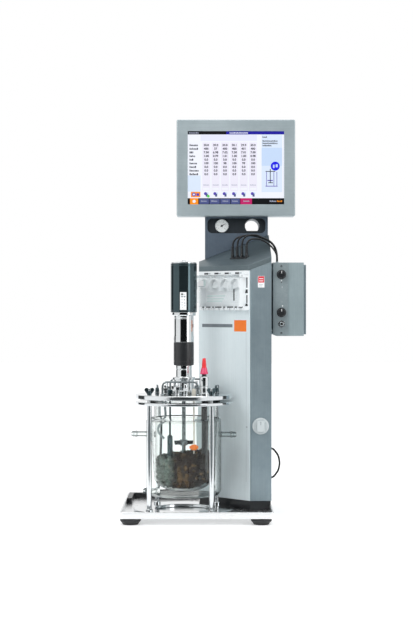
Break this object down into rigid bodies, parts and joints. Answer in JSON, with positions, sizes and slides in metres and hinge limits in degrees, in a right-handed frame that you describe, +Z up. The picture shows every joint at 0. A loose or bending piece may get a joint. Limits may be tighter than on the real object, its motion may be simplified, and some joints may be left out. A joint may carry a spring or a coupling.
{
  "type": "bench bioreactor",
  "caption": "Jacketed glass stirred vessel in a steel stand beside a control tower with display, pump module and gas box.",
  "frame": {"origin": "middle of the footprint, on the bench, cables left out", "axes": "+Z up, the display and the vessel face -Y, +X towards the gas box"},
  "size_m": [0.3924, 0.34, 0.8487],
  "materials": {
    "polished": "polished stainless steel",
    "brushed": "brushed stainless steel",
    "pale_steel": "pale brushed steel sheet",
    "grey_paint": "satin grey",
    "blue_paint": "satin blue grey",
    "white_plastic": "satin white",
    "black_plastic": "satin black",
    "anodised": "dark anodised",
    "rubber": "dark rubber",
    "glass": "clear borosilicate type glass",
    "acrylic": "clear plastic",
    "screen": "lit touch screen",
    "red_plastic": "glossy red",
    "orange_plastic": "orange",
    "silicone": "pale silicone",
    "substrate": "loose dark granules"
  },
  "bodies": {
    "frame": {"base_tray": "polished", "rear_rail": "black_plastic", "foot_front_left": "rubber", "foot_front_right": "rubber", "foot_rear_left": "rubber", "foot_rear_right": "rubber", "tower_plinth": "black_plastic", "tower_shell": "grey_paint", "front_panel": "pale_steel", "tower_hood": "blue_paint", "neck_housing": "blue_paint", "rear_cover": "grey_paint", "gauge_body": "polished", "display_housing": "brushed", "display_screen": "screen", "display_rear_cover": "brushed", "pump_chassis": "white_plastic", "gas_box": "brushed", "control_plate": "brushed", "hose_fitting": "polished", "box_bracket": "brushed", "plug_strip": "black_plastic", "cable_1": "black_plastic", "cable_2": "black_plastic", "cable_3": "black_plastic", "cable_4": "black_plastic", "loop_cable": "rubber", "cable_gland_plate": "black_plastic", "stand_frame": "polished", "clamp_ring": "polished", "glass_vessel": "glass", "lid_gasket": "silicone", "lid": "polished", "wing_nut_1": "anodised", "wing_nut_2": "anodised", "wing_nut_3": "anodised", "wing_nut_4": "anodised", "handle_front": "polished", "handle_rear": "polished", "drive_hub": "polished", "coupling_sleeve": "black_plastic", "drive_lantern": "polished", "motor_body": "anodised", "motor_cap": "polished", "sensor_holder": "polished", "sensor_probe": "black_plastic", "probe_cap": "red_plastic", "temperature_probe": "anodised", "harvest_tube": "orange_plastic", "substrate_bed": "substrate"},
    "stirrer": {"stirrer": "polished"},
    "rotor_1": {"pump_rotor_1": "white_plastic"},
    "rotor_2": {"pump_rotor_2": "white_plastic"},
    "rotor_3": {"pump_rotor_3": "white_plastic"},
    "rotor_4": {"pump_rotor_4": "white_plastic"},
    "flap": {"pump_cover": "acrylic"},
    "dial_knob": {"main_knob": "white_plastic"},
    "upper_valve": {"box_knob_upper": "black_plastic"},
    "lower_valve": {"box_knob_lower": "black_plastic"},
    "needle": {"gauge_needle": "black_plastic"}
  },
  "joints": [
    {"name": "stirrer_spin", "type": "hinge", "parent": "frame", "child": "stirrer", "pos_m": [-0.0674, -0.06, 0.2], "axis": [0, 0, 1], "continuous": true},
    {"name": "pump_1_spin", "type": "hinge", "parent": "frame", "child": "rotor_1", "pos_m": [-0.02288, 0.02229, 0.489], "axis": [0.7071, 0.7071, 0], "continuous": true},
    {"name": "pump_2_spin", "type": "hinge", "parent": "frame", "child": "rotor_2", "pos_m": [-0.00124, 0.00065, 0.489], "axis": [0.7071, 0.7071, 0], "continuous": true},
    {"name": "pump_3_spin", "type": "hinge", "parent": "frame", "child": "rotor_3", "pos_m": [0.0204, -0.02098, 0.489], "axis": [0.7071, 0.7071, 0], "continuous": true},
    {"name": "pump_4_spin", "type": "hinge", "parent": "frame", "child": "rotor_4", "pos_m": [0.04203, -0.04262, 0.489], "axis": [0.7071, 0.7071, 0], "continuous": true},
    {"name": "pump_flap_lift", "type": "hinge", "parent": "frame", "child": "flap", "pos_m": [0.00639, -0.01335, 0.5067], "axis": [-0.7071, 0.7071, 0], "range_deg": [0, 100]},
    {"name": "dial_knob_turn", "type": "hinge", "parent": "frame", "child": "dial_knob", "pos_m": [0.09359, -0.0608, 0.192], "axis": [0, -1, 0], "range_deg": [-135, 135]},
    {"name": "upper_valve_turn", "type": "hinge", "parent": "frame", "child": "upper_valve", "pos_m": [0.138, -0.0446, 0.5103], "axis": [0, -1, 0], "range_deg": [-140, 140]},
    {"name": "lower_valve_turn", "type": "hinge", "parent": "frame", "child": "lower_valve", "pos_m": [0.138, -0.0446, 0.4303], "axis": [0, -1, 0], "range_deg": [-140, 140]},
    {"name": "gauge_needle_swing", "type": "hinge", "parent": "frame", "child": "needle", "pos_m": [0.01365, 0.0923, 0.6197], "axis": [0, 1, 0], "range_deg": [-190, 75]}
  ]
}
